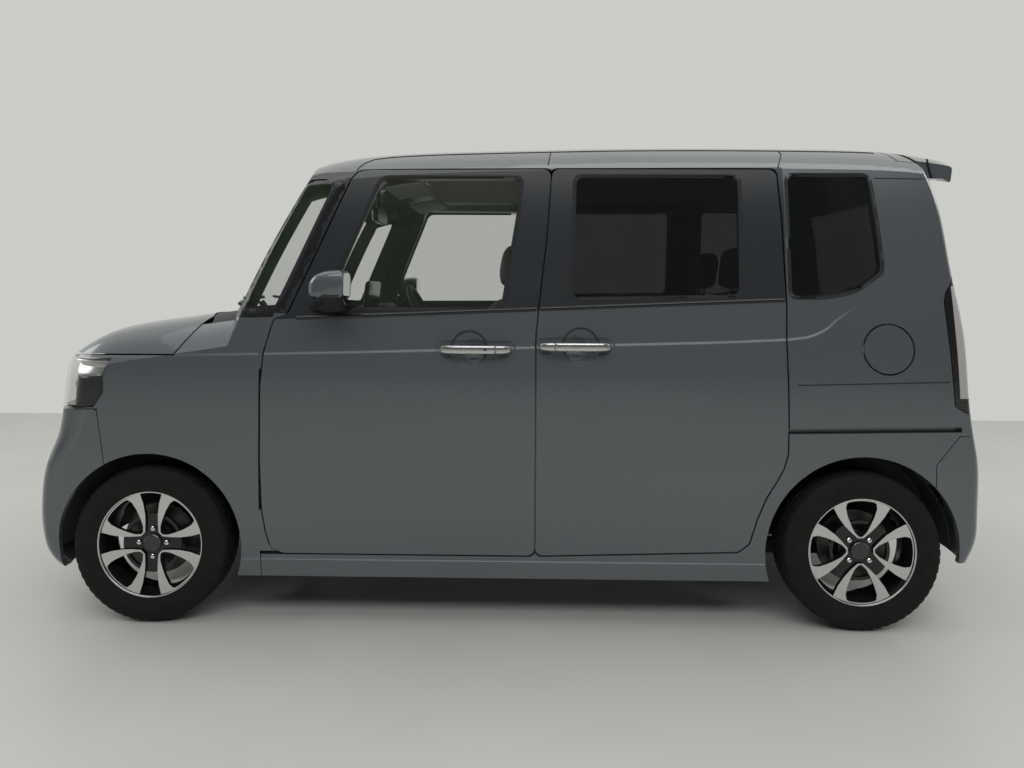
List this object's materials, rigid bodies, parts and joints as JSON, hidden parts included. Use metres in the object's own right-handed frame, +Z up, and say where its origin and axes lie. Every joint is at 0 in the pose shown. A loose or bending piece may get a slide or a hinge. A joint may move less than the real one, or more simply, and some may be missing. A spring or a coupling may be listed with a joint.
{
  "type": "kei car",
  "caption": "tall boxy small passenger car with hinged front doors, sliding rear doors, upright tailgate, short bonnet and steered front wheels",
  "frame": {"origin": "on the ground, at the middle of the bounding box in plan", "axes": "the car points along -X, +Y is its right-hand side, +Z is up"},
  "size_m": [3.3942, 1.81, 1.78],
  "materials": {
    "body_paint": "gloss slate blue-grey paint",
    "floor_paint": "satin underbody paint",
    "black_trim": "grained black plastic",
    "gloss_black": "gloss black plastic",
    "clear_glass": "clear tinted glass",
    "dark_glass": "dark privacy glass",
    "lamp_clear": "clear lamp cover",
    "lamp_shell": "dark lamp housing",
    "lamp_red": "rear lamp cover",
    "satin_chrome": "satin bright metal",
    "alloy": "machined and black-coated alloy",
    "tyre_rubber": "black tyre rubber",
    "cast": "cast iron, light rust film",
    "chassis_steel": "black chassis paint",
    "bare_steel": "dull exhaust steel",
    "seat_cloth": "dark woven cloth",
    "dash_plastic": "grained dark grey plastic"
  },
  "bodies": {
    "body": {"side_frames": "body_paint", "underbody": "floor_paint", "roof_panel": "body_paint", "front_fenders": "body_paint", "front_bumper": "body_paint", "rear_bumper": "body_paint", "grille": "gloss_black", "headlamps": "lamp_clear", "headlamp_housings": "lamp_shell", "tail_lamps": "lamp_red", "windscreen": "clear_glass", "cowl_panel": "black_trim", "side_glass": "dark_glass", "sliding_doors": "body_paint", "sliding_door_handles": "satin_chrome", "dashboard": "dash_plastic", "front_seats": "seat_cloth", "rear_seats": "seat_cloth", "engine_block": "cast", "fuel_tank": "black_trim", "exhaust": "bare_steel", "front_subframe": "chassis_steel", "rear_axle_beam": "chassis_steel", "rear_springs": "chassis_steel"},
    "door_left": {"front_door_left": "body_paint", "front_door_glass_left": "clear_glass", "front_door_handle_left": "satin_chrome", "mirror_left": "body_paint"},
    "door_right": {"front_door_right": "body_paint", "front_door_glass_right": "clear_glass", "front_door_handle_right": "satin_chrome", "mirror_right": "body_paint"},
    "bonnet": {"bonnet": "body_paint"},
    "tailgate": {"tailgate": "body_paint", "tailgate_glass": "dark_glass", "roof_spoiler": "body_paint"},
    "fuel_flap": {"fuel_flap": "body_paint"},
    "knuckle_left": {"knuckle_left": "chassis_steel"},
    "knuckle_right": {"knuckle_right": "chassis_steel"},
    "wheel_front_left": {"front_wheel_left": "alloy", "front_tyre_left": "tyre_rubber", "front_hub_left": "cast"},
    "wheel_front_right": {"front_wheel_right": "alloy", "front_tyre_right": "tyre_rubber", "front_hub_right": "cast"},
    "wheel_rear_left": {"rear_wheel_left": "alloy", "rear_tyre_left": "tyre_rubber", "rear_hub_left": "cast"},
    "wheel_rear_right": {"rear_wheel_right": "alloy", "rear_tyre_right": "tyre_rubber", "rear_hub_right": "cast"},
    "steering_wheel": {"steering_wheel": "dash_plastic"}
  },
  "joints": [
    {"name": "door_left", "type": "hinge", "parent": "body", "child": "door_left", "pos_m": [-0.828, -0.7275, 0.9], "axis": [0, 0, -1], "range_deg": [0, 70]},
    {"name": "door_right", "type": "hinge", "parent": "body", "child": "door_right", "pos_m": [-0.828, 0.7275, 0.9], "axis": [0, 0, 1], "range_deg": [0, 70]},
    {"name": "bonnet", "type": "hinge", "parent": "body", "child": "bonnet", "pos_m": [-1.092, 0, 1.1], "axis": [0, 1, 0], "range_deg": [0, 50]},
    {"name": "tailgate", "type": "hinge", "parent": "body", "child": "tailgate", "pos_m": [1.391, 0, 1.762], "axis": [0, -1, 0], "range_deg": [0, 80]},
    {"name": "steer_left", "type": "hinge", "parent": "body", "child": "knuckle_left", "pos_m": [-1.2645, -0.596, 0.196], "axis": [0.0299, 0.0838, 0.996], "range_deg": [-35, 35]},
    {"name": "steer_right", "type": "hinge", "parent": "body", "child": "knuckle_right", "pos_m": [-1.2645, 0.596, 0.196], "axis": [0.0299, -0.0838, 0.996], "range_deg": [-35, 35]},
    {"name": "steering_wheel_turn", "type": "hinge", "parent": "body", "child": "steering_wheel", "pos_m": [-0.43, 0.33, 1.05], "axis": [0.8988, 0, 0.4384], "range_deg": [-560, 560]},
    {"name": "spin_front_left", "type": "hinge", "parent": "knuckle_left", "child": "wheel_front_left", "pos_m": [-1.2645, -0.6525, 0.2785], "axis": [0, 1, 0], "continuous": true},
    {"name": "spin_front_right", "type": "hinge", "parent": "knuckle_right", "child": "wheel_front_right", "pos_m": [-1.2645, 0.6525, 0.2785], "axis": [0, 1, 0], "continuous": true},
    {"name": "spin_rear_left", "type": "hinge", "parent": "body", "child": "wheel_rear_left", "pos_m": [1.2555, -0.6525, 0.2785], "axis": [0, 1, 0], "continuous": true},
    {"name": "spin_rear_right", "type": "hinge", "parent": "body", "child": "wheel_rear_right", "pos_m": [1.2555, 0.6525, 0.2785], "axis": [0, 1, 0], "continuous": true},
    {"name": "fuel_flap", "type": "hinge", "parent": "body", "child": "fuel_flap", "pos_m": [1.244, -0.72746, 0.991], "axis": [0, 0, -1], "range_deg": [0, 90]}
  ],
  "couplings": [
    {"joint": "steer_right", "follows": "steer_left", "ratio": 1},
    {"joint": "steering_wheel_turn", "follows": "steer_left", "ratio": 15}
  ]
}
